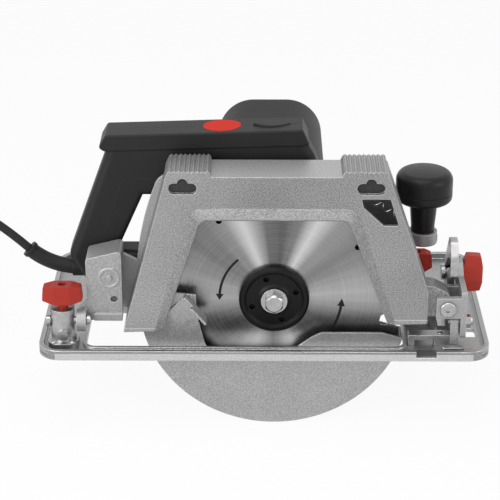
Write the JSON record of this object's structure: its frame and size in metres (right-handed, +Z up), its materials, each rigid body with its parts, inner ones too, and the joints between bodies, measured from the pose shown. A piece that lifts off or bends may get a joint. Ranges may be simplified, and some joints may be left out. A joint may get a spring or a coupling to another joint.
{
  "type": "circular saw",
  "caption": "Hand-held circular saw: toothed blade under a fixed and a sprung swinging guard, geared motor, closed loop handle with switch, and a shoe that tilts and sets the depth of cut.",
  "frame": {"origin": "on the sole plane, straight under the arbor, in the middle plane of the blade", "axes": "+X forward along the cut, +Y from the blade to the motor, +Z up from the sole"},
  "size_m": [0.5569, 0.2675, 0.2403],
  "materials": {
    "cast_aluminium": "sand-blasted casting",
    "shoe_steel": "pressed sheet, satin",
    "blade_steel": "circular brushed",
    "carbide": "ground",
    "bright_steel": "zinc plated",
    "black_steel": "blacked, satin",
    "black_plastic": "fine grained",
    "red_plastic": "satin",
    "black_rubber": "matt",
    "copper": "wound and turned",
    "lamination": "stacked sheet",
    "graphite": "pressed carbon"
  },
  "bodies": {
    "base": {"base_plate": "shoe_steel", "fence_bridge": "shoe_steel", "fence_block": "shoe_steel", "rear_hinge_post": "shoe_steel", "front_hinge_lug": "shoe_steel", "tilt_pins": "bright_steel", "tilt_quadrant": "shoe_steel"},
    "tilt_frame": {"front_yoke": "cast_aluminium", "depth_pivot": "bright_steel", "tilt_stud": "bright_steel", "rear_bracket": "cast_aluminium"},
    "saw_unit": {"upper_guard": "cast_aluminium", "guard_screws": "bright_steel", "guard_retainer": "bright_steel", "gear_case": "cast_aluminium", "front_spindle_bearing": "bright_steel", "rear_spindle_bearing": "bright_steel", "motor_housing": "black_plastic", "motor_end_cap": "black_plastic", "cap_screws": "bright_steel", "motor_bearings": "bright_steel", "stator": "lamination", "brush_holders": "copper", "carbon_brushes": "graphite", "handle_near": "black_plastic", "handle_far": "black_plastic", "handle_screws": "bright_steel", "switch_body": "black_plastic", "trigger_pin": "bright_steel", "front_knob": "black_plastic", "knob_stud": "bright_steel", "depth_stud": "bright_steel", "cord_boot": "black_rubber", "cord_lead": "black_rubber", "cord_coil": "black_rubber", "cord_tie": "black_rubber", "plug_body": "black_plastic", "plug_pins": "bright_steel"},
    "blade_unit": {"saw_blade": "blade_steel", "carbide_tips": "carbide", "outer_flange": "black_steel", "inner_flange": "bright_steel", "blade_washer": "bright_steel", "blade_bolt": "bright_steel", "spindle": "bright_steel", "drive_wheel": "bright_steel"},
    "armature": {"motor_pinion": "bright_steel", "armature_shaft": "bright_steel", "armature_core": "lamination", "commutator": "copper", "cooling_fan": "black_plastic"},
    "lower_guard_unit": {"lower_guard": "cast_aluminium", "guard_lever": "shoe_steel"},
    "trigger_unit": {"trigger": "black_plastic"},
    "lock_button_unit": {"lock_button": "black_plastic"},
    "rear_wing": {"rear_wing_screw": "red_plastic"},
    "tilt_wing": {"tilt_wing_nut": "red_plastic"},
    "fence_wing": {"fence_wing_screw": "red_plastic"},
    "depth_lever_unit": {"depth_lever": "black_steel"}
  },
  "joints": [
    {"name": "tilt", "type": "hinge", "parent": "base", "child": "tilt_frame", "pos_m": [0, -0.009, 0.0225], "axis": [1, 0, 0], "range_deg": [0, 45]},
    {"name": "plunge", "type": "hinge", "parent": "tilt_frame", "child": "saw_unit", "pos_m": [0.137, 0, 0.038], "axis": [0, 1, 0], "range_deg": [0, 24]},
    {"name": "blade_spin", "type": "hinge", "parent": "saw_unit", "child": "blade_unit", "pos_m": [0, 0, 0.039], "axis": [0, 1, 0], "continuous": true},
    {"name": "armature_spin", "type": "hinge", "parent": "saw_unit", "child": "armature", "pos_m": [-0.003, 0, 0.07387], "axis": [0, 1, 0], "continuous": true},
    {"name": "guard_swing", "type": "hinge", "parent": "saw_unit", "child": "lower_guard_unit", "pos_m": [0, 0, 0.039], "axis": [0, 1, 0], "range_deg": [0, 140], "stiffness_Nm_per_rad": 0.3, "springref_deg": -20.05},
    {"name": "trigger_pull", "type": "hinge", "parent": "saw_unit", "child": "trigger_unit", "pos_m": [-0.056, 0.04, 0.13], "axis": [0, 1, 0], "range_deg": [0, 5], "stiffness_Nm_per_rad": 0.6, "springref_deg": -11.46},
    {"name": "lock_press", "type": "slide", "parent": "saw_unit", "child": "lock_button_unit", "axis": [0, 0, -1], "range_m": [0, 0.0025], "stiffness_N_per_m": 400, "springref_m": -0.002},
    {"name": "rear_wing_turn", "type": "hinge", "parent": "base", "child": "rear_wing", "pos_m": [-0.168, -0.009, 0.038], "axis": [0, 0, 1], "range_deg": [0, 180]},
    {"name": "tilt_wing_turn", "type": "hinge", "parent": "tilt_frame", "child": "tilt_wing", "pos_m": [0.1525, 0.03, 0.048], "axis": [1, 0, 0], "range_deg": [0, 180]},
    {"name": "fence_wing_turn", "type": "hinge", "parent": "base", "child": "fence_wing", "pos_m": [0.1155, 0.03225, 0.049], "axis": [0, 0, 1], "range_deg": [0, 180]},
    {"name": "depth_lever_turn", "type": "hinge", "parent": "saw_unit", "child": "depth_lever_unit", "pos_m": [-0.098, 0.0265, 0.027], "axis": [0, 1, 0], "range_deg": [-25, 0]}
  ],
  "couplings": [
    {"joint": "armature_spin", "follows": "blade_spin", "ratio": -3.6667}
  ]
}
